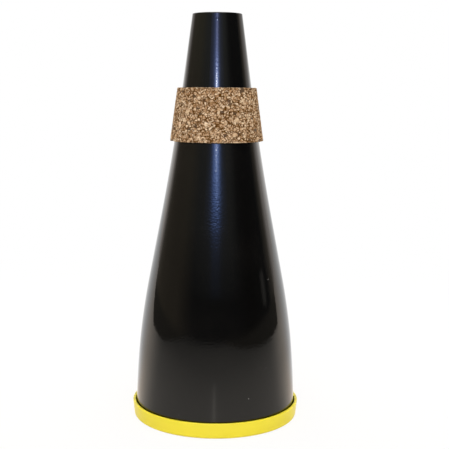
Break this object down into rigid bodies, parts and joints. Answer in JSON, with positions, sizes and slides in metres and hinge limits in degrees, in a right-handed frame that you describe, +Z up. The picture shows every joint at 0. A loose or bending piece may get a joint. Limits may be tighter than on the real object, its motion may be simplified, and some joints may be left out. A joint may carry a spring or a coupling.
{
  "type": "practice mute",
  "caption": "Tapered black plastic practice mute with a cork collar round the neck, a yellow base cap, an inner air tube and foam lining.",
  "frame": {"origin": "centre of the base cap's underside, on the mute's axis", "axes": "+Z up the mute's axis towards the narrow tip, -Y towards the front seen in the picture, which carries the gate mark; the cork collar's seam is at +Y"},
  "size_m": [0.0692, 0.0692, 0.165],
  "materials": {
    "black_shell": "glossy moulded black plastic with fine handling marks",
    "cork": "cut composition cork: bonded tan granules with dark brown gaps, dry and slightly rough",
    "yellow_cap": "satin moulded yellow plastic",
    "tube_plastic": "extruded dark plastic tube",
    "foam": "open-cell charcoal foam"
  },
  "bodies": {
    "root": {"shell": "black_shell", "cork_collar": "cork", "base_cap": "yellow_cap", "air_tube": "tube_plastic", "foam_pad": "foam", "foam_liner": "foam"}
  },
  "joints": []
}
